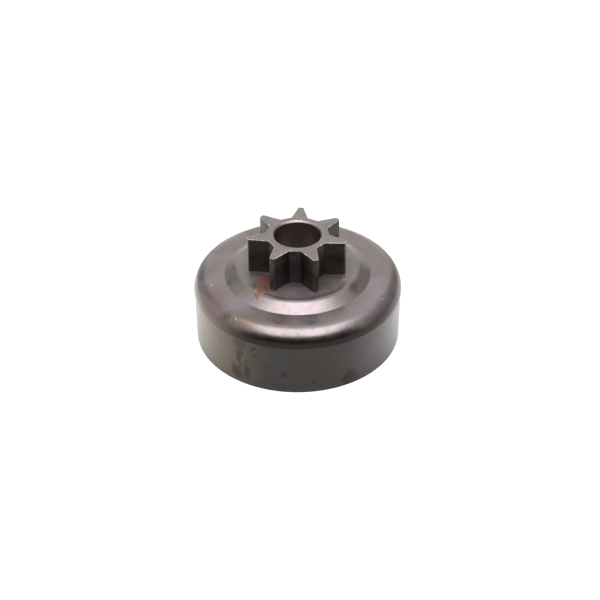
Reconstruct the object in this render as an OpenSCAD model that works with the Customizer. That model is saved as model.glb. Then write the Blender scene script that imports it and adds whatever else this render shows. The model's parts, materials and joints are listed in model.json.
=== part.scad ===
// Chainsaw clutch drum with a spur sprocket brazed to its web.
// Millimetres, +Z up. The drum stands on its open rim; the origin is the rim's centre.

/* [Drum] */
// Outer diameter of the turned friction wall
wall_d = 78; // [72:0.5:100]
// Thickness of the friction wall after turning
wall_t = 2; // [1.5:0.1:3]
// Height of the flat annulus above the open rim
drum_h = 26.6; // [20:0.1:40]
// Thickness of the pressed steel sheet
sheet_t = 2.2; // [1.6:0.1:3]
// Outer radius of the rounded shoulder
shoulder_r = 6; // [4:0.25:8]
// Amount by which the unturned shoulder stands outside the wall
turning_step = 0.25; // [0.1:0.05:0.5]
// Height of the unturned band under the shoulder
unturned_band = 0.6; // [0.2:0.1:2]
// Edge break on both sides of the open rim
rim_break = 0.4; // [0.1:0.1:0.6]

/* [Boss] */
// Diameter of the crisp foot of the raised boss
boss_foot_d = 55; // [52:0.5:58]
// Rise of the boss above the annulus
boss_rise = 2.7; // [1.2:0.1:4]
// Slope of the boss flank in degrees from level
boss_slope = 30; // [25:1:45]
// Radius of the soft edge at the top of the boss
boss_edge_r = 4; // [3.2:0.1:6]
// Radius in the corner at the foot of the boss
boss_foot_r = 0.8; // [0.3:0.1:1.5]

/* [Sprocket] */
// Number of teeth
teeth = 7; // [6:1:9]
// Diameter over the tooth tips
tip_d = 37; // [34:0.5:38]
// Width of each tooth at its tip
tip_w = 2; // [1.4:0.1:4]
// Radius of the two corners of each tip
tip_corner_r = 0.5; // [0.2:0.05:0.7]
// Diameter of the circle that touches the flats between the teeth
root_d = 23; // [22.6:0.1:26]
// Width of each flat between the teeth
root_w = 4.2; // [2:0.1:6]
// Height of the teeth above the boss
sprocket_h = 14.1; // [8:0.1:25]
// Direction of the first tooth in degrees from +X
first_tooth_angle = 85.5; // [0:0.5:360]

/* [Bore and spigot] */
// Diameter of the bore in which the needle bearing runs
bore_d = 17.4; // [12:0.1:18]
// Width of the chamfer at each end of the bore
bore_chamfer_w = 0.6; // [0.2:0.1:0.9]
// Depth of the chamfer at each end of the bore
bore_chamfer_h = 0.55; // [0.2:0.05:1]
// Diameter of the spigot that passes through the web
spigot_d = 22; // [20:0.1:22.4]
// Length of spigot that stands out under the web
spigot_out = 1.6; // [1.4:0.1:4]
// Radial gap between the spigot and its hole, which the braze fills by capillary action
braze_gap = 0.05; // [0.02:0.01:0.1]
// Leg of the braze fillet in the corner under the web
braze_leg = 1.2; // [0.5:0.1:1.3]

/* [Hidden] */
$fn = 128;
margin = 0.2;  // overshoot of each cut past the face that it opens

wall_r = wall_d / 2;
shoulder_top_r = wall_r + turning_step;
friction_r = wall_r - wall_t;
turned_h = drum_h - shoulder_r - unturned_band;

web_under_z = drum_h - sheet_t;
boss_top_z = drum_h + boss_rise;
recess_top_z = boss_top_z - sheet_t;
half_slope = tan(boss_slope / 2);  // tangent length of a corner on the boss per unit of radius

spigot_r = spigot_d / 2;
web_hole_r = spigot_r + braze_gap;
spigot_end_z = recess_top_z - spigot_out;
sprocket_top_z = boss_top_z + sprocket_h;

pitch_angle = 360 / teeth;
tip_r = tip_d / 2;
root_corner_r = norm([root_d, root_w]) / 2;
root_corner_angle = pitch_angle / 2 - atan(root_w / root_d);
root_corner = root_corner_r * [cos(root_corner_angle), sin(root_corner_angle)];
flank_angle = atan((root_corner.y - tip_w / 2) / (tip_r - root_corner.x));
tip_arc_centre = [
    tip_r - tip_corner_r,
    tip_w / 2 - tip_corner_r * (1 - sin(flank_angle)) / cos(flank_angle)
];
tip_arc_start = tip_arc_centre + tip_corner_r * [sin(flank_angle), cos(flank_angle)];

function turned(p, a) = [p.x * cos(a) - p.y * sin(a), p.x * sin(a) + p.y * cos(a)];
function mirrored(p) = [p.x, -p.y];

// Half section of a cup's outside or inside, from the axis to its rounded corner
module cup_section(r, h, corner_r) {
    square([r - corner_r, h]);
    square([r, h - corner_r]);
    translate([r - corner_r, h - corner_r])
        circle(corner_r);
}

// Half section of the raised boss above its annulus: crisp foot, straight flank, soft top edge
module boss_section(foot, edge_r, foot_r) {
    top = foot - boss_rise / tan(boss_slope);
    edge_run = edge_r * half_slope;
    foot_run = foot_r * half_slope;
    along_flank = [cos(boss_slope), -sin(boss_slope)];
    foot_arc_centre = [foot + foot_run, foot_r];
    polygon([
        [0, -margin],
        [foot, -margin],
        [foot, 0],
        [top, boss_rise] + edge_run * along_flank,
        [top - edge_run, boss_rise],
        [0, boss_rise]
    ]);
    translate([top - edge_run, boss_rise - edge_r])
        circle(edge_r);
    difference() {
        polygon([
            [foot - foot_run, -margin],
            [foot + foot_run, -margin],
            foot_arc_centre,
            [foot, 0] - foot_run * along_flank
        ]);
        translate(foot_arc_centre)
            circle(foot_r);
    }
}

// What the lathe takes off the outside of the wall, with the run-out of the tool at its top
module turning_cut() {
    polygon([
        [wall_r, -margin],
        [shoulder_top_r + margin, -margin],
        [shoulder_top_r + margin, turned_h + turning_step + margin],
        [wall_r, turned_h]
    ]);
}

// Triangle that breaks one edge of the rim; side is 1 for the outer edge and -1 for the inner one
module rim_break_cut(r, side) {
    polygon([
        [r - side * (rim_break + margin), -margin],
        [r + side * margin, -margin],
        [r + side * margin, rim_break + margin]
    ]);
}

// Deep-drawn steel cup with a raised boss and a hole for the sprocket's spigot
module clutch_drum() {
    color("#8d8381")
    rotate_extrude()
    difference() {
        union() {
            cup_section(shoulder_top_r, drum_h, shoulder_r);
            translate([0, drum_h])
                boss_section(boss_foot_d / 2, boss_edge_r, boss_foot_r);
        }
        turning_cut();
        translate([0, -margin])
            cup_section(friction_r, web_under_z + margin, shoulder_r - sheet_t);
        translate([0, web_under_z])
            boss_section(boss_foot_d / 2 - sheet_t * half_slope, boss_edge_r - sheet_t, boss_foot_r + sheet_t);
        square([web_hole_r, boss_top_z + margin]);
        rim_break_cut(wall_r, 1);
        rim_break_cut(friction_r, -1);
    }
}

// Star outline with straight flanks, narrow tips with round corners and flat roots
module tooth_outline() {
    polygon([
        for (k = [0 : teeth - 1], p = [
            mirrored(root_corner),
            mirrored(tip_arc_start),
            [tip_r, -tip_arc_centre.y],
            [tip_r, tip_arc_centre.y],
            tip_arc_start,
            root_corner
        ]) turned(p, first_tooth_angle + k * pitch_angle)
    ]);
    for (k = [0 : teeth - 1], p = [tip_arc_centre, mirrored(tip_arc_centre)])
        translate(turned(p, first_tooth_angle + k * pitch_angle))
            circle(tip_corner_r);
}

// Chamfer at one end of the bore, opening upwards from z = 0 at its mouth
module bore_mouth() {
    flare = bore_chamfer_w / bore_chamfer_h;
    mouth_r = bore_d / 2 + bore_chamfer_w;
    translate([0, 0, -bore_chamfer_h])
        cylinder(h = bore_chamfer_h + margin, r1 = bore_d / 2, r2 = mouth_r + margin * flare);
}

// Spur sprocket that seats on the boss, with a spigot through the web
module spur_sprocket() {
    color("#978c89")
    difference() {
        union() {
            translate([0, 0, boss_top_z])
                linear_extrude(sprocket_h)
                    tooth_outline();
            translate([0, 0, spigot_end_z])
                cylinder(h = boss_top_z - spigot_end_z + margin, r = spigot_r);
        }
        translate([0, 0, spigot_end_z - margin])
            cylinder(h = sprocket_top_z - spigot_end_z + 2 * margin, d = bore_d);
        translate([0, 0, sprocket_top_z])
            bore_mouth();
        translate([0, 0, spigot_end_z])
            mirror([0, 0, 1])
                bore_mouth();
    }
}

// Hollow fillet of copper braze in the corner between the spigot and the underside of the web
module braze_fillet() {
    color("#b5745a")
    rotate_extrude()
    translate([spigot_r, recess_top_z - braze_leg])
    difference() {
        square(braze_leg);
        translate([braze_leg, 0])
            circle(braze_leg);
    }
}

clutch_drum();
spur_sprocket();
braze_fillet();
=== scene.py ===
import bpy
import bmesh
import json
import math
from mathutils import Matrix, Vector, noise


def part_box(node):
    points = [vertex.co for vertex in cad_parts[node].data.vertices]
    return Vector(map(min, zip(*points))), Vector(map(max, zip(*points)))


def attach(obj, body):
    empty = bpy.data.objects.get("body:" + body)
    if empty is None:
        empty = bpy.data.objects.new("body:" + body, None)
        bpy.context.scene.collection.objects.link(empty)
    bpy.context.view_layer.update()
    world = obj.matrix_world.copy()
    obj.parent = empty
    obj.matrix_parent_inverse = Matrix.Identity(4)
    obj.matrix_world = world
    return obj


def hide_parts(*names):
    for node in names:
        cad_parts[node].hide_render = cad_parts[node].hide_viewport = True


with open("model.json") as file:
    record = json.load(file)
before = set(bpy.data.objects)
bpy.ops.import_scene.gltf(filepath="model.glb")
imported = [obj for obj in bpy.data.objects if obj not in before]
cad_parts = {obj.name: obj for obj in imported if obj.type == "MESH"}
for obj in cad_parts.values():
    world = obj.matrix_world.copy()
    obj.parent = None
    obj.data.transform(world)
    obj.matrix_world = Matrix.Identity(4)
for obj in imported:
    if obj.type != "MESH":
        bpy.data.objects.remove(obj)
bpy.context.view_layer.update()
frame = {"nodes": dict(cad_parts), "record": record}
bpy.ops.object.select_all(action="DESELECT")
print("frame loaded:", ", ".join(sorted(frame["nodes"])))

mm = 0.001
close = 0.01 * mm  # two places nearer than this are the same place

drumLow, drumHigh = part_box("clutch_drum")
sprocketLow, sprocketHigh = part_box("spur_sprocket")
mounts = {m["name"]: m["dims"] for m in frame["record"]["mounts"]}
boreRadius = mounts["bearing_bore"]["r_mm"] * mm
frictionRadius = mounts["friction_drum"]["r_mm"] * mm

camera = {"lens": 72.52, "distance": 471 * mm, "elevation": 37.57,
          "lookDown": 36.283, "yaw": 0.128, "roll": -0.279}

drum = {
    "turns": 192,
    "shoulderRadius": drumHigh.x,
    "wallRadius": drumHigh.x - 0.25 * mm,  # the lathe took this much off the wall
    "bossTop": drumHigh.z,
    "bossRise": 2.7 * mm,
    "bossSlope": 30,
    "bossFoot": 27.5 * mm,
    "bossEdge": 4 * mm,
    "bossCorner": 0.8 * mm,
    "shoulder": 6 * mm,
    "band": 0.6 * mm,  # unturned strip under the shoulder
    "sheet": 2.2 * mm,
    "rimBreak": 0.12 * mm,
    "hole": 11.05 * mm,
}

sprocket = {
    "teeth": 7,
    "firstTooth": 85.5,
    "tipRadius": 18.5 * mm,
    "tipWidth": 2 * mm,
    "tipCorner": 0.5 * mm,
    "rootFlat": 11.5 * mm,
    "rootWidth": 4.2 * mm,
    "spigotRadius": 11 * mm,
    "chamferWidth": 0.6 * mm,
    "chamferDepth": 0.55 * mm,
    "burr": 0.25 * mm,  # edge that the deburring wheel left
}


def hexColour(text):
    # sRGB hex to the linear colour that sockets take
    parts = [int(text[i:i + 2], 16) / 255 for i in (0, 2, 4)]
    return [p / 12.92 if p <= 0.04045 else ((p + 0.055) / 1.055) ** 2.4 for p in parts] + [1]


# edit mode helpers

def openMesh(piece):
    bpy.ops.object.select_all(action="DESELECT")
    bpy.context.view_layer.objects.active = piece
    piece.select_set(True)
    bpy.ops.object.mode_set(mode="EDIT")
    bpy.ops.mesh.select_all(action="DESELECT")


def closeMesh():
    bpy.ops.object.mode_set(mode="OBJECT")
    bpy.ops.object.select_all(action="DESELECT")


def pickEdges(piece, test):
    bpy.ops.mesh.select_mode(type="EDGE")
    bpy.ops.mesh.select_all(action="DESELECT")
    mesh = bmesh.from_edit_mesh(piece.data)
    for edge in mesh.edges:
        edge.select_set(test(edge.verts[0].co, edge.verts[1].co))
    bmesh.update_edit_mesh(piece.data)


def pickFaces(piece, test):
    bpy.ops.mesh.select_mode(type="FACE")
    bpy.ops.mesh.select_all(action="DESELECT")
    mesh = bmesh.from_edit_mesh(piece.data)
    for face in mesh.faces:
        face.select_set(test(face.calc_center_median(), face.normal))
    bmesh.update_edit_mesh(piece.data)


def reach(p):
    return math.hypot(p.x, p.y)


def ringAt(radius, z):
    # test for the edges of one round loop
    def test(a, b):
        return all(abs(reach(p) - radius) < 2 * close and abs(p.z - z) < 2 * close for p in (a, b))
    return test


def growRing(piece, radius, z, newRadius, newZ):
    pickEdges(piece, ringAt(radius, z))
    bpy.ops.mesh.extrude_region_move(TRANSFORM_OT_translate={"value": (0, 0, newZ - z)})
    k = newRadius / radius
    bpy.ops.transform.resize(value=(k, k, 1), center_override=(0, 0, newZ))


def roundRing(piece, radius, z, arcRadius, turnAngle, segments):
    pickEdges(piece, ringAt(radius, z))
    bpy.ops.mesh.bevel(offset=arcRadius * math.tan(math.radians(turnAngle / 2)), segments=segments,
                       profile=0.5, affect="EDGES", clamp_overlap=False)


# the drawn cup

def drawnSkin(name, radius, top, corner, band, foot, footCorner, edge):
    # one side of the sheet: wall, rounded shoulder, annulus, raised boss and hole
    start = top - corner - band
    bpy.ops.mesh.primitive_cylinder_add(vertices=drum["turns"], radius=radius, depth=top - start,
                                        end_fill_type="NGON", location=(0, 0, (top + start) / 2))
    skin = bpy.context.object
    skin.name = name
    bpy.ops.object.transform_apply(location=True)
    bossTop = foot - drum["bossRise"] / math.tan(math.radians(drum["bossSlope"]))
    openMesh(skin)
    pickFaces(skin, lambda c, n: n.z < -0.9)
    bpy.ops.mesh.delete(type="ONLY_FACE")
    roundRing(skin, radius, top, corner, 90, 16)
    pickFaces(skin, lambda c, n: n.z > 0.9 and reach(c) < close)
    bpy.ops.mesh.inset(thickness=radius - corner - foot)
    bpy.ops.mesh.extrude_region_move(TRANSFORM_OT_translate={"value": (0, 0, drum["bossRise"])})
    k = bossTop / foot
    bpy.ops.transform.resize(value=(k, k, 1), center_override=(0, 0, top))
    bpy.ops.mesh.inset(thickness=bossTop - drum["hole"])
    bpy.ops.mesh.delete(type="ONLY_FACE")
    roundRing(skin, bossTop, top + drum["bossRise"], edge, drum["bossSlope"], 8)
    roundRing(skin, foot, top, footCorner, drum["bossSlope"], 5)
    closeMesh()
    return skin


def drawDrum():
    annulus = drum["bossTop"] - drum["bossRise"]
    underside = annulus - drum["sheet"]
    halfSlope = math.tan(math.radians(drum["bossSlope"] / 2))
    wallTop = annulus - drum["shoulder"] - drum["band"]
    step = drum["shoulderRadius"] - drum["wallRadius"]
    rim = drum["rimBreak"]

    outside = drawnSkin("drum_outside", drum["shoulderRadius"], annulus, drum["shoulder"],
                        drum["band"] - step, drum["bossFoot"], drum["bossCorner"], drum["bossEdge"])
    openMesh(outside)
    growRing(outside, drum["shoulderRadius"], wallTop + step, drum["wallRadius"], wallTop)
    growRing(outside, drum["wallRadius"], wallTop, drum["wallRadius"], rim)
    growRing(outside, drum["wallRadius"], rim, drum["wallRadius"] - rim, 0)
    closeMesh()

    innerCorner = drum["shoulder"] - drum["sheet"]
    inside = drawnSkin("drum_inside", frictionRadius, underside, innerCorner,
                       underside - innerCorner - rim, drum["bossFoot"] - drum["sheet"] * halfSlope,
                       drum["bossCorner"] + drum["sheet"], drum["bossEdge"] - drum["sheet"])
    openMesh(inside)
    growRing(inside, frictionRadius, rim, frictionRadius + rim, 0)
    bpy.ops.mesh.select_all(action="SELECT")
    bpy.ops.mesh.flip_normals()
    closeMesh()

    outside.select_set(True)
    inside.select_set(True)
    bpy.context.view_layer.objects.active = outside
    bpy.ops.object.join()
    cup = bpy.context.object
    cup.name = "drawn_cup"
    openMesh(cup)
    for low, high in ((0, 0), (underside + drum["bossRise"], drum["bossTop"])):
        pickEdges(cup, lambda a, b: any(abs(a.z - z) < close and abs(b.z - z) < close
                                        and (low == 0 or reach(a) < drum["hole"] + 0.05 * mm)
                                        and (low == 0 or reach(b) < drum["hole"] + 0.05 * mm)
                                        for z in (low, high)))
        bpy.ops.mesh.bridge_edge_loops()
    bpy.ops.mesh.select_all(action="SELECT")
    bpy.ops.mesh.remove_doubles(threshold=close / 10)
    closeMesh()
    return cup


def bossHeight(radius):
    # outside of the boss, from its flat top down its slope
    slope = math.radians(drum["bossSlope"])
    corner = drum["bossFoot"] - drum["bossRise"] / math.tan(slope)
    start = corner - drum["bossEdge"] * math.tan(slope / 2)
    if radius < start:
        return drum["bossTop"]
    if radius < start + drum["bossEdge"] * math.sin(slope):
        return drum["bossTop"] - drum["bossEdge"] + math.sqrt(drum["bossEdge"] ** 2 - (radius - start) ** 2)
    return drum["bossTop"] - (radius - corner) * math.tan(slope)


cup = drawDrum()
print("drum drawn:", len(cup.data.polygons), "faces")


# the sprocket, cut one tooth at a time as on a dividing head

def turnAll(degrees):
    bpy.ops.mesh.select_all(action="SELECT")
    bpy.ops.transform.rotate(value=-math.radians(degrees), orient_axis="Z", center_override=(0, 0, 0))


def starBlank(base, top):
    pitch = 360 / sprocket["teeth"]
    cornerRadius = math.hypot(sprocket["rootFlat"], sprocket["rootWidth"] / 2)
    halfTooth = math.radians(pitch / 2) - math.atan2(sprocket["rootWidth"] / 2, sprocket["rootFlat"])
    toothFace = cornerRadius * math.cos(halfTooth)
    toothBase = 2 * cornerRadius * math.sin(halfTooth)
    bpy.ops.mesh.primitive_cylinder_add(vertices=2 * sprocket["teeth"], radius=cornerRadius, depth=top - base,
                                        end_fill_type="NGON", location=(0, 0, (base + top) / 2))
    blank = bpy.context.object
    blank.name = "toothed_hub"
    bpy.ops.object.transform_apply(location=True)
    for v in blank.data.vertices:  # the sides become wide and narrow in turn
        side = math.degrees(math.atan2(v.co.y, v.co.x))
        tooth = round(side / pitch) * pitch
        angle = math.radians(tooth) + math.copysign(halfTooth, side - tooth)
        v.co.x, v.co.y = cornerRadius * math.cos(angle), cornerRadius * math.sin(angle)
    openMesh(blank)
    for k in range(sprocket["teeth"]):
        pickFaces(blank, lambda c, n: n.x > 0.999 and abs(c.x - toothFace) < close)
        outward = (sprocket["tipRadius"] - toothFace, 0, 0)
        bpy.ops.mesh.extrude_region_move(TRANSFORM_OT_translate={"value": outward})
        bpy.ops.transform.resize(value=(1, sprocket["tipWidth"] / toothBase, 1), center_override=(0, 0, 0))
        turnAll(pitch)
    turnAll(sprocket["firstTooth"])
    flankRun = sprocket["tipRadius"] - toothFace
    flankAngle = math.degrees(math.atan2((toothBase - sprocket["tipWidth"]) / 2, flankRun))
    tipLength = sprocket["tipCorner"] * math.tan(math.radians(90 - flankAngle) / 2)
    pickEdges(blank, lambda a, b: reach(a) > sprocket["tipRadius"] - 2 * close and abs(a.z - b.z) > mm)
    bpy.ops.mesh.bevel(offset=tipLength, segments=5, profile=0.5, affect="EDGES", clamp_overlap=False)
    for z, width in ((top, sprocket["burr"]), (base, sprocket["burr"] / 2)):
        pickEdges(blank, lambda a, b: abs(a.z - z) < close and abs(b.z - z) < close)
        bpy.ops.mesh.bevel(offset=width, segments=2, profile=0.5, affect="EDGES", clamp_overlap=False)
    closeMesh()
    return blank


def boreCutter(low, top):
    # drill with a countersink at each end
    margin = mm
    flare = sprocket["chamferWidth"] / sprocket["chamferDepth"]
    mouth = boreRadius + sprocket["chamferWidth"] + margin * flare
    lowMouth, topMouth = low + sprocket["chamferDepth"], top - sprocket["chamferDepth"]
    bpy.ops.mesh.primitive_cylinder_add(vertices=128, radius=boreRadius, depth=topMouth - lowMouth,
                                        end_fill_type="NGON", location=(0, 0, (topMouth + lowMouth) / 2))
    cutter = bpy.context.object
    bpy.ops.object.transform_apply(location=True)
    openMesh(cutter)
    for z, away in ((topMouth, 1), (lowMouth, -1)):
        pickFaces(cutter, lambda c, n: n.z * away > 0.9)
        rise = away * (sprocket["chamferDepth"] + margin)
        bpy.ops.mesh.extrude_region_move(TRANSFORM_OT_translate={"value": (0, 0, rise)})
        spread = mouth / boreRadius
        bpy.ops.transform.resize(value=(spread, spread, 1), center_override=(0, 0, z + rise))
    closeMesh()
    return cutter


def carve(piece, tool, operation):
    modifier = piece.modifiers.new(operation, "BOOLEAN")
    modifier.operation = operation
    modifier.solver = "EXACT"
    modifier.object = tool
    bpy.context.view_layer.objects.active = piece
    bpy.ops.object.modifier_apply(modifier=modifier.name)
    bpy.data.objects.remove(tool)


def cutSprocket():
    base, top, low = drum["bossTop"], sprocketHigh.z, sprocketLow.z
    hub = starBlank(base, top)
    overlap = 2 * mm
    bpy.ops.mesh.primitive_cylinder_add(
        vertices=128, radius=sprocket["spigotRadius"], depth=base + overlap - low,
        end_fill_type="NGON", location=(0, 0, (base + overlap + low) / 2))
    spigot = bpy.context.object
    bpy.ops.object.transform_apply(location=True)
    carve(hub, spigot, "UNION")
    carve(hub, boreCutter(low, top), "DIFFERENCE")
    openMesh(hub)
    mouth = boreRadius + sprocket["chamferWidth"]
    for z in (top, low):
        pickEdges(hub, ringAt(mouth, z))
        bpy.ops.mesh.bevel(offset=sprocket["burr"] / 3, segments=1, affect="EDGES", clamp_overlap=False)
    closeMesh()
    return hub


hub = cutSprocket()
print("sprocket cut:", len(hub.data.polygons), "faces")


# copper that ran out at the sprocket's foot

spill = {
    "outline": ((-9.2, -6.6), (-12.0, -6.2), (-15.3, -6.9), (-14.8, -9.4), (-14.2, -12.0), (-15.3, -14.4),
                (-16.7, -15.6), (-16.3, -17.2), (-15.6, -18.6), (-14.7, -20.3), (-14.3, -19.2),
                 (-14.0, -18.3),
                (-12.9, -18.0), (-11.5, -17.6), (-10.4, -16.4), (-9.6, -14.5), (-9.0, -11.5), (-8.2, -9.0)),
    "middle": (-12.2, -12.2),
    # share of the outline and height in mm
    "crown": ((0.97, 0.1), (0.9, 0.15), (0.75, 0.2), (0.5, 0.21), (0.25, 0.21)),
    "ragged": 0.3 * mm,
    "lumps": 0.05 * mm,
    "sunk": 0.06 * mm,
    "sheet": 0.2 * mm,
}


def runCopper():
    outline = spill["outline"]
    bpy.ops.mesh.primitive_circle_add(vertices=len(outline), radius=5 * mm, fill_type="NGON")
    crust = bpy.context.object
    crust.name = "braze_spill"
    for v, (x, y) in zip(crust.data.vertices, outline):
        v.co = (x * mm, y * mm, 0)
    middle = Vector((spill["middle"][0] * mm, spill["middle"][1] * mm, 0))
    openMesh(crust)
    bpy.ops.mesh.select_all(action="SELECT")
    bpy.ops.mesh.subdivide(number_cuts=3)
    closeMesh()
    for v in crust.data.vertices:
        v.co += (v.co - middle).normalized() * noise.noise(v.co / (0.8 * mm)) * spill["ragged"]
    openMesh(crust)
    bpy.ops.mesh.select_all(action="SELECT")
    share, height = 1, 0
    for nextShare, nextHeight in spill["crown"]:
        bpy.ops.mesh.extrude_region_move(TRANSFORM_OT_translate={"value": (0, 0, (nextHeight - height) * mm)})
        k = nextShare / share
        bpy.ops.transform.resize(value=(k, k, 1), center_override=middle)
        share, height = nextShare, nextHeight
    bpy.ops.mesh.poke()
    closeMesh()
    for v in crust.data.vertices:
        lump = noise.noise(v.co / (1.1 * mm)) * spill["lumps"] if v.co.z > close else -spill["sunk"]
        v.co.z += bossHeight(reach(v.co)) + lump
    thicken = crust.modifiers.new("thicken", "SOLIDIFY")
    thicken.thickness = spill["sheet"]
    thicken.offset = -1
    bpy.context.view_layer.objects.active = crust
    bpy.ops.object.modifier_apply(modifier=thicken.name)
    openMesh(crust)
    bpy.ops.mesh.select_all(action="SELECT")
    bpy.ops.mesh.normals_make_consistent(inside=False)
    closeMesh()
    return crust


crust = runCopper()
print("copper run out:", len(crust.data.polygons), "faces")


# materials

def addNode(tree, kind, **settings):
    made = tree.nodes.new("ShaderNode" + kind)
    for key, value in settings.items():
        setattr(made, key, value)
    return made


def feed(tree, socket, value):
    if isinstance(value, bpy.types.NodeSocket):
        tree.links.new(value, socket)
    else:
        socket.default_value = value


def calc(tree, operation, *values):
    made = addNode(tree, "Math", operation=operation)
    for socket, value in zip(made.inputs, values):
        feed(tree, socket, value)
    return made.outputs[0]


def calcVector(tree, operation, *values):
    made = addNode(tree, "VectorMath", operation=operation)
    for socket, value in zip(made.inputs, values):
        feed(tree, socket, value)
    return made.outputs["Value" if operation == "LENGTH" else "Vector"]


def ramp(tree, value, low, high, start=0, end=1):
    made = addNode(tree, "MapRange", interpolation_type="SMOOTHSTEP")
    for socket, given in zip(made.inputs, (value, low, high, start, end)):
        feed(tree, socket, given)
    return made.outputs[0]


def grain(tree, coords, size, detail=2, roughness=0.5, warp=0):
    # soft random pattern whose blotches are about size wide
    made = addNode(tree, "TexNoise")
    feed(tree, made.inputs["Vector"], coords)
    settings = {"Scale": 1 / size, "Detail": detail, "Roughness": roughness, "Distortion": warp}
    for name, value in settings.items():
        made.inputs[name].default_value = value
    return made.outputs["Fac"]


def blend(tree, amount, first, second, way="MIX"):
    made = addNode(tree, "Mix", data_type="RGBA", blend_type=way)
    feed(tree, made.inputs[0], amount)
    feed(tree, made.inputs[6], hexColour(first) if isinstance(first, str) else first)
    feed(tree, made.inputs[7], hexColour(second) if isinstance(second, str) else second)
    return made.outputs[2]


def stretch(tree, coords, scale):
    made = addNode(tree, "Mapping", vector_type="POINT")
    feed(tree, made.inputs["Vector"], coords)
    made.inputs["Scale"].default_value = scale
    return made.outputs[0]


def startMaterial(name, metallic, coat=0, coatRoughness=0.2, anisotropy=0, ior=1.5):
    material = bpy.data.materials.new(name)
    material.use_nodes = True
    tree = material.node_tree
    shader = tree.nodes["Principled BSDF"]
    for socket, value in (("Metallic", metallic), ("Coat Weight", coat), ("Coat Roughness", coatRoughness),
                          ("Anisotropic", anisotropy), ("IOR", ior)):
        shader.inputs[socket].default_value = value
    if anisotropy:
        shader.inputs["Anisotropic Rotation"].default_value = 0.25  # spreads across the lathe marks
        tangent = addNode(tree, "Tangent", direction_type="RADIAL", axis="Z")
        tree.links.new(tangent.outputs[0], shader.inputs["Tangent"])
    spot = addNode(tree, "TexCoord").outputs["Object"]
    axes = addNode(tree, "SeparateXYZ")
    tree.links.new(spot, axes.inputs[0])
    x, y, z = axes.outputs
    return material, tree, shader, spot, x, y, z


def finishMaterial(tree, shader, colour, roughness, height=None, depth=0.1 * mm):
    feed(tree, shader.inputs["Base Color"], colour)
    feed(tree, shader.inputs["Roughness"], roughness)
    if height is not None:
        bump = addNode(tree, "Bump")
        bump.inputs["Distance"].default_value = depth
        tree.links.new(height, bump.inputs["Height"])
        tree.links.new(bump.outputs[0], shader.inputs["Normal"])


def flatPlace(tree, u, v):
    made = addNode(tree, "CombineXYZ")
    feed(tree, made.inputs[0], u)
    feed(tree, made.inputs[1], v)
    return made.outputs[0]


def unrolled(tree, x, y, z):
    # the wall laid flat: distance round from the front, and height
    back = calc(tree, "MULTIPLY", y, -1)
    arc = calc(tree, "MULTIPLY", calc(tree, "ARCTAN2", x, back), drum["wallRadius"])
    return flatPlace(tree, arc, z), arc


def patch(tree, place, centre, radii, edge=0.15, ragged=0, size=1 * mm):
    # 1 inside an uneven round patch, 0 outside
    offset = calcVector(tree, "SUBTRACT", place, (centre[0] * mm, centre[1] * mm, 0))
    scaled = calcVector(tree, "DIVIDE", offset, (radii[0] * mm, radii[1] * mm, 1))
    away = calcVector(tree, "LENGTH", scaled)
    if ragged:
        noise = calc(tree, "SUBTRACT", grain(tree, place, size, 3), 0.5)
        away = calc(tree, "ADD", away, calc(tree, "MULTIPLY", noise, ragged))
    return ramp(tree, away, 1 + edge, 1 - edge)


def cut(tree, u, v, start, end, soft=0.2 * mm):
    # 1 on the left of the line from start to end
    du, dv = end[0] - start[0], end[1] - start[1]
    length = math.hypot(du, dv)
    side = calc(tree, "SUBTRACT", calc(tree, "MULTIPLY", v, du / length),
                calc(tree, "MULTIPLY", u, dv / length))
    level = (start[1] * du - start[0] * dv) / length * mm
    return ramp(tree, side, level - soft, level + soft)


def specks(tree, coords, spacing, radius, share):
    # sparse small pits, one in each chosen cell
    cells = addNode(tree, "TexVoronoi")
    feed(tree, cells.inputs["Vector"], coords)
    cells.inputs["Scale"].default_value = 1 / spacing
    chosen = addNode(tree, "SeparateColor")
    tree.links.new(cells.outputs["Color"], chosen.inputs[0])
    inside = ramp(tree, cells.outputs["Distance"], radius / spacing, radius / spacing * 0.4)
    return calc(tree, "MULTIPLY", inside, calc(tree, "LESS_THAN", chosen.outputs[0], share))


def most(tree, values):
    total = values[0]
    for value in values[1:]:
        total = calc(tree, "MAXIMUM", total, value)
    return total


pressedSteel = {
    "colours": ("887b7a", "7d7671", "8f8388"),
    "flank": "3a322e",
    "flankHeights": (25.4 * mm, 22.6 * mm),
    "metallic": 0.88,
    "roughness": 0.31,
    "scoured": 0.2,  # rougher on top of the boss, where the flux was brushed off
    "coat": 0.3,
}

pressedMarks = {
    # x, y, radius across, radius along, all in mm on the plan of the drum
    "pits": ((5.1, -34.8, 0.35, 0.5), (-5.0, -36.7, 0.3, 0.5), (0, -36.9, 0.3, 0.4), (27.7, 16.3, 0.4, 0.6),
             (-10.7, -30.3, 0.5, 0.6), (-8.4, -30.9, 0.4, 0.5), (-6.2, -31.2, 0.5, 0.6),
             (-4.6, -32.0, 0.3, 0.4),
             (-26.2, -26.1, 0.6, 0.8), (-24.6, -26.9, 0.4, 0.5), (-24.2, 0.4, 0.5, 0.9),
             (-25.6, -7.8, 0.7, 0.9),
             (23.4, -8.6, 0.4, 0.5), (-22.8, -28.9, 0.4, 0.5), (30.9, -15.9, 0.6, 0.6)),
    "nicks": ((-32.0, -8.6, 0.35, 0.5), (31.1, -17.2, 0.4, 0.5), (-22.3, -28.6, 0.3, 0.5),
              (16.9, -9.6, 1.2, 0.3)),
    "brown": ((-31.0, -21.0, 5, 9), (-23.0, -30.0, 10, 5)),
    "dark": ((-26.0, -26.0, 2.4, 2.0), (20.5, -13.0, 1.4, 2.2), (-15.4, -12.2, 1.0, 2.6),
             (-14.6, -6.2, 3.0, 0.6)),
}


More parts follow.
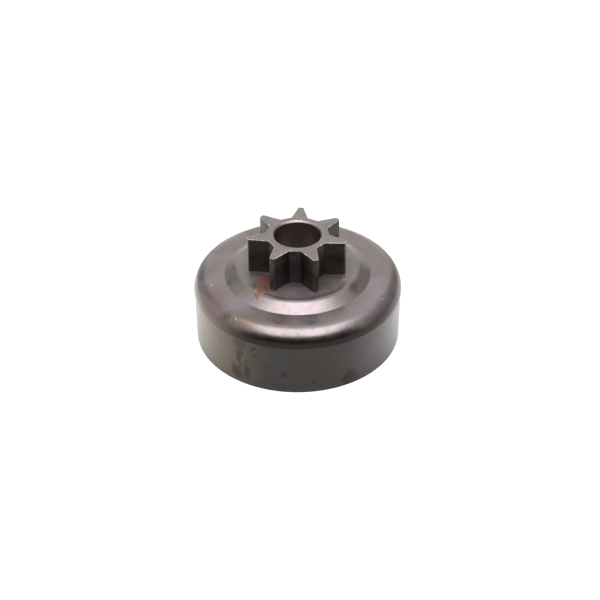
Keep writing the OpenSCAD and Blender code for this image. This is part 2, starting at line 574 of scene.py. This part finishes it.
def pressedMaterial():
    material, tree, shader, spot, x, y, z = startMaterial(
        "pressed_steel", pressedSteel["metallic"], pressedSteel["coat"], 0.18)
    first, second, third = pressedSteel["colours"]
    plan = flatPlace(tree, x, y)
    colour = blend(tree, ramp(tree, grain(tree, spot, 11 * mm, 2), 0.35, 0.65), first, second)
    clouds = grain(tree, stretch(tree, spot, (1, 1.3, 1)), 16 * mm, 1)
    colour = blend(tree, ramp(tree, clouds, 0.4, 0.7), colour, third)
    mottle = grain(tree, spot, 0.9 * mm, 3, 0.6)
    colour = blend(tree, ramp(tree, mottle, 0.42, 0.75, 0, 0.16), colour, "4c4340")
    brown = most(tree, [patch(tree, plan, m[:2], m[2:], 0.6, 0.5, 3 * mm) for m in pressedMarks["brown"]])
    colour = blend(tree, calc(tree, "MULTIPLY", brown, 0.55), colour, "6d5a49")
    # painted shade: the band under the shoulder is darkened from 25.4 mm down to 22.6 mm, less towards the
    # far left
    low, high = pressedSteel["flankHeights"]
    wander = calc(tree, "MULTIPLY", calc(tree, "SUBTRACT", grain(tree, spot, 5 * mm, 2), 0.5), 1.2 * mm)
    flank = ramp(tree, calc(tree, "ADD", z, wander), low, high)
    flank = calc(tree, "MULTIPLY", flank, ramp(tree, x, -31 * mm, -17 * mm, 0.3, 1))
    colour = blend(tree, flank, colour, pressedSteel["flank"])
    # darker patches; the long narrow one along the foot of the left tooth is painted shade
    dark = most(tree, [patch(tree, plan, m[:2], m[2:], 0.7, 0.8, 1.5 * mm) for m in pressedMarks["dark"]])
    colour = blend(tree, calc(tree, "MULTIPLY", dark, 0.35), colour, "2e2723")
    pits = most(tree, [patch(tree, plan, m[:2], m[2:], 0.5, 0.5, 0.4 * mm) for m in pressedMarks["pits"]]
                + [specks(tree, spot, 4.2 * mm, 0.28 * mm, 0.16),
                   specks(tree, spot, 1.7 * mm, 0.16 * mm, 0.07)])
    colour = blend(tree, calc(tree, "MULTIPLY", pits, 0.36), colour, "352c2a")
    nicks = most(tree, [patch(tree, plan, m[:2], m[2:], 0.5, 0.5, 0.4 * mm) for m in pressedMarks["nicks"]])
    colour = blend(tree, calc(tree, "MULTIPLY", nicks, 0.45), colour, "d9d0d0")
    fine = grain(tree, spot, 0.35 * mm, 2, 0.6)
    peel = grain(tree, spot, 1.3 * mm, 2)
    height = calc(tree, "ADD", calc(tree, "MULTIPLY", fine, 0.25), calc(tree, "MULTIPLY", peel, 0.5))
    height = calc(tree, "SUBTRACT", height, calc(tree, "MULTIPLY", pits, 0.5))
    roughness = ramp(tree, grain(tree, spot, 3 * mm, 3), 0.3, 0.7,
                     pressedSteel["roughness"] - 0.04, pressedSteel["roughness"] + 0.06)
    scoured = ramp(tree, calcVector(tree, "LENGTH", plan), 22 * mm, 20 * mm, 0, pressedSteel["scoured"])
    roughness = calc(tree, "ADD", roughness, scoured)
    finishMaterial(tree, shader, colour, roughness, height, 0.02 * mm)
    return material


turnedSteel = {
    "colours": ("4c4944", "504842", "4d494b"),
    "metallic": 0.85,
    "roughness": 0.38,
    "coat": 0.6,
    "anisotropy": 0.4,
}

wallMarks = {
    # distance round from the front, height, radius round, radius up, in mm on the wall laid flat
    "pits": ((-21.3, 14.4, 0.45, 0.5), (-16.9, 17.3, 0.6, 0.45), (-15.8, 18.0, 0.45, 0.35),
             (5.3, 4.6, 0.4, 0.4),
             (-5.0, 1.9, 0.35, 0.3)),
    "dots": ((7.1, 11.0, 0.3, 0.3), (-14.3, 19.6, 0.35, 0.3), (-31.3, 16.1, 0.4, 0.6),
             (32.6, 16.6, 0.7, 0.35),
             (-11.6, 10.4, 0.7, 0.4), (-12.3, 4.9, 0.6, 0.4), (-16.2, 14.4, 0.9, 0.35),
             (-15.6, 13.9, 0.8, 0.3),
             (6.2, 0.7, 0.5, 0.3), (-5.3, 8.0, 1.1, 1.2)),
    "tape": ((-22.3, 6.0, 4.0, 4.2), (-22.2, 18.0, 2.8, 2.4), (-22.6, 12.8, 1.3, 3.4)),
    "tapeDark": ((-19.4, 6.2, 1.2, 2.8), (-24.3, 4.0, 2.0, 2.6), (-22.9, 12.0, 0.7, 2.4),
                 (-19.8, 10.6, 0.9, 0.8)),
    "tapeLight": ((-21.1, 7.0, 0.35, 4.0), (-24.1, 8.8, 0.7, 0.9), (-23.3, 7.6, 0.4, 0.8)),
    "warmLitSide": (-34.0, 8.0, 15, 20),
    "coolLitSide": (35.0, 8.0, 15, 18),
}

# brown corner mark at the rim, as the corners of its outline
rimMark = ((16.4, -1), (16.4, 3.0), (18.8, 7.2), (22.0, 5.9), (24.3, -1))


def turnedMaterial():
    material, tree, shader, spot, x, y, z = startMaterial(
        "turned_steel", turnedSteel["metallic"], turnedSteel["coat"], 0.3, turnedSteel["anisotropy"])
    first, second, third = turnedSteel["colours"]
    wall, arc = unrolled(tree, x, y, z)
    colour = blend(tree, ramp(tree, grain(tree, spot, 13 * mm, 1), 0.4, 0.62), first, second)
    clouds = grain(tree, stretch(tree, spot, (1, 1, 0.6)), 9 * mm, 1)
    colour = blend(tree, ramp(tree, clouds, 0.5, 0.7), colour, third)
    # painted light: the wall is lightened towards its left and right sides, warmer on the left and cooler on
    # the right
    warmLitSide = patch(tree, wall, wallMarks["warmLitSide"][:2], wallMarks["warmLitSide"][2:], 0.8, 0.3, 6 * mm)
    colour = blend(tree, calc(tree, "MULTIPLY", warmLitSide, 0.85), colour, "7f7061")
    coolLitSide = patch(tree, wall, wallMarks["coolLitSide"][:2], wallMarks["coolLitSide"][2:], 0.8, 0.3, 6 * mm)
    colour = blend(tree, calc(tree, "MULTIPLY", coolLitSide, 0.75), colour, "6c6567")
    rings = grain(tree, stretch(tree, spot, (0.03, 0.03, 1)), 0.28 * mm, 3, 0.7)
    colour = blend(tree, ramp(tree, rings, 0.35, 0.7, 0, 0.05), colour, "807870")
    tape = most(tree, [patch(tree, wall, m[:2], m[2:], 0.25, 0.5, 2 * mm) for m in wallMarks["tape"]])
    colour = blend(tree, calc(tree, "MULTIPLY", tape, 0.55), colour, "4b3b30")
    tapeDark = most(tree, [patch(tree, wall, m[:2], m[2:], 0.35, 0.8, 1.2 * mm)
                           for m in wallMarks["tapeDark"]])
    colour = blend(tree, calc(tree, "MULTIPLY", tapeDark, 0.5), colour, "35281f")
    tapeLight = most(tree, [patch(tree, wall, m[:2], m[2:], 0.5, 0.6, 0.8 * mm)
                            for m in wallMarks["tapeLight"]])
    colour = blend(tree, calc(tree, "MULTIPLY", tapeLight, 0.5), colour, "85796c")
    mark = None
    for start, end in zip(rimMark[:-1], rimMark[1:]):
        side = cut(tree, arc, z, end, start)
        mark = side if mark is None else calc(tree, "MULTIPLY", mark, side)
    shade = ramp(tree, arc, 17 * mm, 23 * mm, 0.75, 0.4)
    colour = blend(tree, calc(tree, "MULTIPLY", mark, shade), colour, "33251e")
    scrawlPlace = patch(tree, wall, (-7.9, 1.9), (2.9, 1.0), 0.2)
    scrawl = ramp(tree, grain(tree, wall, 0.55 * mm, 2, 0.6, 1.5), 0.52, 0.6)
    scrawl = calc(tree, "MULTIPLY", scrawl, scrawlPlace)
    dots = most(tree, [patch(tree, wall, m[:2], m[2:], 0.6, 0.6, 0.5 * mm) for m in wallMarks["dots"]]
                + [specks(tree, spot, 5.5 * mm, 0.25 * mm, 0.14)])
    pits = most(tree, [patch(tree, wall, m[:2], m[2:], 0.4, 0.5, 0.4 * mm) for m in wallMarks["pits"]])
    colour = blend(tree, calc(tree, "MULTIPLY", dots, 0.5), colour, "1f1b19")
    colour = blend(tree, calc(tree, "MULTIPLY", scrawl, 0.85), colour, "33201c")
    colour = blend(tree, calc(tree, "MULTIPLY", pits, 0.92), colour, "0e0a08")
    chafed = ramp(tree, grain(tree, wall, 0.7 * mm, 3), 0.4, 0.7)
    rimLight = calc(tree, "MULTIPLY", ramp(tree, z, 3.0 * mm, 1.2 * mm), chafed)
    colour = blend(tree, calc(tree, "MULTIPLY", rimLight, 0.3), colour, "8e8680")
    # painted shade: a dark line along the bottom of the rim, where it meets the floor
    colour = blend(tree, ramp(tree, z, 0.7 * mm, 0.2 * mm, 0, 0.6), colour, "2f2b28")
    height = calc(tree, "SUBTRACT", calc(tree, "MULTIPLY", rings, 0.12), calc(tree, "MULTIPLY", pits, 2))
    height = calc(tree, "SUBTRACT", height, calc(tree, "MULTIPLY", most(tree, [dots, scrawl]), 0.5))
    roughness = ramp(tree, grain(tree, spot, 6 * mm, 2), 0.3, 0.7,
                     turnedSteel["roughness"] - 0.02, turnedSteel["roughness"] + 0.03)
    finishMaterial(tree, shader, colour, roughness, height, 0.02 * mm)
    return material


frictionSteel = {"colour": "6f6a66", "worn": "9a948f", "soot": "2b2624", "roughness": 0.38}


def frictionMaterial():
    # inside of the cup: shoes have polished a track, the rest keeps its dust
    material, tree, shader, spot, x, y, z = startMaterial("friction_steel", 0.9, 0, 0.2, 0.5)
    dust = ramp(tree, grain(tree, spot, 3.5 * mm, 4, 0.6), 0.35, 0.7)
    colour = blend(tree, dust, frictionSteel["colour"], frictionSteel["soot"])
    rings = grain(tree, stretch(tree, spot, (0.03, 0.03, 1)), 0.35 * mm, 3, 0.75)
    track = calc(tree, "MULTIPLY", ramp(tree, z, 1.5 * mm, 3 * mm), ramp(tree, z, 20 * mm, 18 * mm))
    polished = calc(tree, "MULTIPLY", track, ramp(tree, rings, 0.3, 0.65, 0.35, 0.95))
    colour = blend(tree, polished, colour, frictionSteel["worn"])
    roughness = ramp(tree, rings, 0.3, 0.7,
                     frictionSteel["roughness"] - 0.08, frictionSteel["roughness"] + 0.1)
    finishMaterial(tree, shader, colour, roughness, rings, 0.015 * mm)
    return material


sprocketSteel = {"colours": ("918785", "877e7b"), "flank": "302a28", "bore": "6e5e57",
                 "edge": "d2c9c6", "roughness": 0.36}


def sprocketMaterial():
    material, tree, shader, spot, x, y, z = startMaterial("sprocket_steel", 0.95, 0.2, 0.2)
    first, second = sprocketSteel["colours"]
    colour = blend(tree, ramp(tree, grain(tree, spot, 5 * mm, 2), 0.35, 0.65), first, second)
    ground = grain(tree, stretch(tree, spot, (1, 0.15, 1)), 0.35 * mm, 3, 0.7)
    colour = blend(tree, ramp(tree, ground, 0.4, 0.75, 0, 0.14), colour, "4f4744")
    # painted shade: upright faces, the tooth flanks and the bore, are made darker than the top
    facing = addNode(tree, "SeparateXYZ")
    tree.links.new(addNode(tree, "NewGeometry").outputs["Normal"], facing.inputs[0])
    upright = ramp(tree, facing.outputs[2], 0.7, 0.2)
    scale = ramp(tree, grain(tree, spot, 2.4 * mm, 3, 0.6), 0.3, 0.75, 0.93, 1)
    colour = blend(tree, calc(tree, "MULTIPLY", upright, scale), colour, sprocketSteel["flank"])
    away = calcVector(tree, "LENGTH", flatPlace(tree, x, y))
    inner = ramp(tree, away, boreRadius + 0.7 * mm, boreRadius + 0.5 * mm)
    colour = blend(tree, calc(tree, "MULTIPLY", inner, 0.25), colour, sprocketSteel["bore"])
    colour = blend(tree, calc(tree, "MULTIPLY", inner, upright), colour, sprocketSteel["bore"])
    tips = ramp(tree, away, sprocket["tipRadius"] - 0.6 * mm, sprocket["tipRadius"] - 0.1 * mm)
    rubbed = ramp(tree, grain(tree, spot, 1.8 * mm, 3, 0.6), 0.35, 0.7, 0.2, 0.6)
    tips = calc(tree, "MULTIPLY", calc(tree, "MULTIPLY", tips, rubbed), upright)
    colour = blend(tree, tips, colour, "6a625e")
    # painted light: the upright faces at the back left are made lighter
    litBackFlanks = calc(tree, "MULTIPLY", ramp(tree, y, 5 * mm, 11 * mm), ramp(tree, x, 3 * mm, -5 * mm))
    litBackFlanks = calc(tree, "MULTIPLY", calc(tree, "MULTIPLY", litBackFlanks, upright), 0.55)
    colour = blend(tree, litBackFlanks, colour, "6f6a68")
    dents = specks(tree, spot, 2.2 * mm, 0.18 * mm, 0.1)
    colour = blend(tree, calc(tree, "MULTIPLY", dents, 0.5), colour, "3a3230")
    height = calc(tree, "SUBTRACT", calc(tree, "MULTIPLY", ground, 0.4), dents)
    roughness = ramp(tree, grain(tree, spot, 1.5 * mm, 3), 0.3, 0.7,
                     sprocketSteel["roughness"] - 0.03, sprocketSteel["roughness"] + 0.05)
    roughness = calc(tree, "ADD", roughness, calc(tree, "MULTIPLY", upright, 0.1))
    finishMaterial(tree, shader, colour, roughness, height, 0.015 * mm)
    return material


def edgeMaterial():
    # bare metal along the deburred edges, made lighter as well as a painted highlight
    material, tree, shader, spot, x, y, z = startMaterial("worn_and_lit_edge", 0.95, 0.2, 0.2)
    worn = ramp(tree, grain(tree, spot, 1.1 * mm, 3, 0.7), 0.42, 0.6)
    colour = blend(tree, worn, sprocketSteel["colours"][1], sprocketSteel["edge"])
    finishMaterial(tree, shader, colour, 0.36, grain(tree, spot, 0.3 * mm, 2), 0.01 * mm)
    return material


brazeCopper = {
    "colours": ("7d584e", "6e4b44"),
    "streak": "8a6558",
    # x, y, radius across, radius along, all in mm on the plan of the drum
    "pale": ((-15.8, -16.9, 1.3, 1.6, "8c7869"), (-14.9, -19.3, 0.7, 1.0, "84664c")),
    "dark": ((-11.2, -8.6, 1.2, 2.2, "6b4740"), (-11.8, -14.2, 0.9, 1.0, "69453e"),
             (-15.3, -17.9, 0.4, 0.4, "5a3c2c")),
}


def copperMaterial():
    material, tree, shader, spot, x, y, z = startMaterial("braze_copper", 0.5, 0.15, 0.4)
    plan = flatPlace(tree, x, y)
    first, second = brazeCopper["colours"]
    colour = blend(tree, ramp(tree, grain(tree, spot, 2.2 * mm, 3, 0.6), 0.35, 0.65), first, second)
    streaks = grain(tree, stretch(tree, spot, (1, 0.35, 1)), 0.9 * mm, 3, 0.6)
    colour = blend(tree, ramp(tree, streaks, 0.5, 0.7, 0, 0.8), colour, brazeCopper["streak"])
    for cx, cy, across, along, tint in brazeCopper["pale"] + brazeCopper["dark"]:
        place = patch(tree, plan, (cx, cy), (across, along), 0.4, 0.5, 0.8 * mm)
        colour = blend(tree, calc(tree, "MULTIPLY", place, 0.8), colour, tint)
    height = grain(tree, spot, 0.5 * mm, 3, 0.6)
    roughness = ramp(tree, grain(tree, spot, 0.8 * mm, 3), 0.3, 0.7, 0.45, 0.6)
    finishMaterial(tree, shader, colour, roughness, height, 0.05 * mm)
    return material


def dress(piece, *materials):
    piece.data.materials.clear()
    for material in materials:
        piece.data.materials.append(material)


pressed, turned, friction = pressedMaterial(), turnedMaterial(), frictionMaterial()
steel, edge, copper = sprocketMaterial(), edgeMaterial(), copperMaterial()
dress(cup, pressed, turned, friction)
wallTop = drum["bossTop"] - drum["bossRise"] - drum["shoulder"] - drum["band"]
for face in cup.data.polygons:
    c, n = face.center, face.normal
    outward = n.x * c.x + n.y * c.y
    underBoss = outward < 0 and c.z < drum["bossTop"] - drum["sheet"]
    if c.z < wallTop + 0.2 * mm and (outward > 0 or c.z < close):
        face.material_index = 1
    elif outward < 0 and reach(c) > 30 * mm or n.z < -0.3 or underBoss:
        face.material_index = 2
    else:
        face.material_index = 0
edgeFaces = []
for face in hub.data.polygons:
    depth = min(abs(face.center.z - sprocketHigh.z), abs(face.center.z - drum["bossTop"]))
    if depth < sprocket["burr"] and 0.1 < abs(face.normal.z) < 0.99:
        edgeFaces.append(face.index)
print("worn edge faces", len(edgeFaces))
dress(hub, steel, edge)
for index in edgeFaces:
    hub.data.polygons[index].material_index = 1
dress(frame["nodes"]["braze_fillet"], copper)
dress(crust, copper)

for piece, angle in ((cup, 20), (hub, 25), (crust, 50)):
    bpy.context.view_layer.objects.active = piece
    piece.select_set(True)
    bpy.ops.object.shade_smooth_by_angle(angle=math.radians(angle))
    bpy.ops.object.select_all(action="DESELECT")
print("materials on:", ", ".join(m.name for m in bpy.data.materials if m.users))


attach(cup, "root")
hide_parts("clutch_drum")
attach(hub, "root")
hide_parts("spur_sprocket")
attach(crust, "root")


# floor, cards, lamp, world and camera

stage = {
    "floorRadius": 5,
    "floorColour": 0.4,
    "floorGlow": 0.82,  # seen straight on
    "frontGlow": 0.12,  # seen in the metal, in front of the part and beside it
    "sideGlow": 1.05,
    "backGlow": 1.5,
    "cardRadius": 0.75,
    # from and to round from the front, from and to in elevation, grey level
    "cards": {"front_card": (-54, 62, -1, 42, 0.05), "right_card": (80, 149, -1, 48, 0.34),
              "left_card": (-151, -124, -1, 44, 0.46)},
    "lampPower": 2.4,
    "lampWidth": 0.5,
    "lampDepth": 0.5,
    "lampDistance": 0.5,
    "lampElevation": 74.5,
    "worldStrength": 0.75,
}


def seenWhite(tree):
    # 1 for rays that show the backdrop itself, in view, in a reflection or through glass
    path = addNode(tree, "LightPath")
    seen = calc(tree, "MAXIMUM", path.outputs["Is Camera Ray"], path.outputs["Is Glossy Ray"])
    return calc(tree, "MAXIMUM", seen, path.outputs["Is Transmission Ray"])


def layFloor():
    bpy.ops.mesh.primitive_circle_add(vertices=96, radius=stage["floorRadius"], fill_type="NGON",
                                      location=(0, 0, -0.02 * mm))
    floor = bpy.context.object
    floor.name = "floor"
    bpy.ops.object.transform_apply(location=True)
    material = bpy.data.materials.new("floor_paper")
    material.use_nodes = True
    tree = material.node_tree
    shader = tree.nodes["Principled BSDF"]
    shader.inputs["Base Color"].default_value = [stage["floorColour"]] * 3 + [1]
    shader.inputs["Roughness"].default_value = 1
    shader.inputs["Specular IOR Level"].default_value = 0
    shader.inputs["Emission Color"].default_value = (1, 1, 1, 1)
    axes = addNode(tree, "SeparateXYZ")
    tree.links.new(addNode(tree, "TexCoord").outputs["Object"], axes.inputs[0])
    towards = calc(tree, "MULTIPLY", axes.outputs[1], -1)
    side = calc(tree, "ABSOLUTE", calc(tree, "ARCTAN2", axes.outputs[0], towards))
    mirrored = ramp(tree, side, math.radians(30), math.radians(105), stage["frontGlow"], stage["sideGlow"])
    away = calcVector(tree, "LENGTH", flatPlace(tree, axes.outputs[0], axes.outputs[1]))
    far = ramp(tree, away, 60 * mm, 85 * mm)
    dim = calc(tree, "MULTIPLY", far, ramp(tree, side, math.radians(128), math.radians(142), 0, 0.8))
    mirrored = calc(tree, "MULTIPLY", mirrored, calc(tree, "SUBTRACT", 1, dim))
    behind = ramp(tree, side, math.radians(157), math.radians(167), 0, stage["backGlow"])
    mirrored = calc(tree, "ADD", mirrored, behind)
    path = addNode(tree, "LightPath")
    glow = calc(tree, "MULTIPLY", path.outputs["Is Camera Ray"], stage["floorGlow"])
    seen = calc(tree, "MAXIMUM", path.outputs["Is Glossy Ray"], path.outputs["Is Transmission Ray"])
    glow = calc(tree, "ADD", glow, calc(tree, "MULTIPLY", seen, mirrored))
    feed(tree, shader.inputs["Emission Strength"], glow)
    dress(floor, material)


def hangCard(name, left, right, bottom, top, level):
    # card that only the metal sees, part of a sphere round the part
    bpy.ops.mesh.primitive_uv_sphere_add(segments=180, ring_count=90, radius=stage["cardRadius"])
    card = bpy.context.object
    card.name = name
    openMesh(card)

    def outside(c, n):
        elevation = math.degrees(math.asin(max(-1, min(1, c.z / c.length))))
        side = math.degrees(math.atan2(c.x, -c.y))
        return not (bottom < elevation < top and left < side < right)
    pickFaces(card, outside)
    bpy.ops.mesh.delete(type="FACE")
    closeMesh()
    material = bpy.data.materials.new(name)
    material.use_nodes = True
    shader = material.node_tree.nodes["Principled BSDF"]
    for socket, value in (("Base Color", (0, 0, 0, 1)), ("Specular IOR Level", 0),
                          ("Emission Color", (1, 1, 1, 1)), ("Emission Strength", level)):
        shader.inputs[socket].default_value = value
    dress(card, material)
    card.visible_camera = False


def hangLamp():
    angle = math.radians(stage["lampElevation"])
    away = stage["lampDistance"]
    bpy.ops.object.light_add(type="AREA", location=(0, -away * math.cos(angle), away * math.sin(angle)))
    lamp = bpy.context.object
    lamp.name = "softbox"
    lamp.data.shape = "RECTANGLE"
    lamp.data.size, lamp.data.size_y = stage["lampWidth"], stage["lampDepth"]
    lamp.data.energy = stage["lampPower"]
    lamp.rotation_euler = (math.radians(90) - angle, 0, 0)
    lamp.visible_camera = False


def lightWorld():
    world = bpy.data.worlds.new("white_room")
    bpy.context.scene.world = world
    world.use_nodes = True
    tree = world.node_tree
    background = tree.nodes["Background"]
    background.inputs["Color"].default_value = (1, 1, 1, 1)
    white = calc(tree, "MULTIPLY", seenWhite(tree), 1 - stage["worldStrength"])
    strength = calc(tree, "ADD", white, stage["worldStrength"])
    feed(tree, background.inputs["Strength"], strength)


def placeCamera():
    e, down, yaw = (math.radians(camera[k]) for k in ("elevation", "lookDown", "yaw"))
    data = bpy.data.cameras.new("camera")
    eye = bpy.data.objects.new("camera", data)
    bpy.context.scene.collection.objects.link(eye)
    data.sensor_width = 36
    data.lens = camera["lens"]
    data.clip_start, data.clip_end = 0.01, 20
    eye.location = (0, -camera["distance"] * math.cos(e), camera["distance"] * math.sin(e))
    eye.rotation_mode = "XYZ"
    look = Matrix.Rotation(-yaw, 4, "Z") @ Matrix.Rotation(math.radians(90) - down, 4, "X")
    eye.rotation_euler = (look @ Matrix.Rotation(math.radians(camera["roll"]), 4, "Z")).to_euler()
    bpy.context.scene.camera = eye


layFloor()
for name, place in stage["cards"].items():
    hangCard(name, *place)
hangLamp()
lightWorld()
placeCamera()
bpy.context.scene.view_settings.view_transform = "Standard"
print("stage, lamp and camera in place")
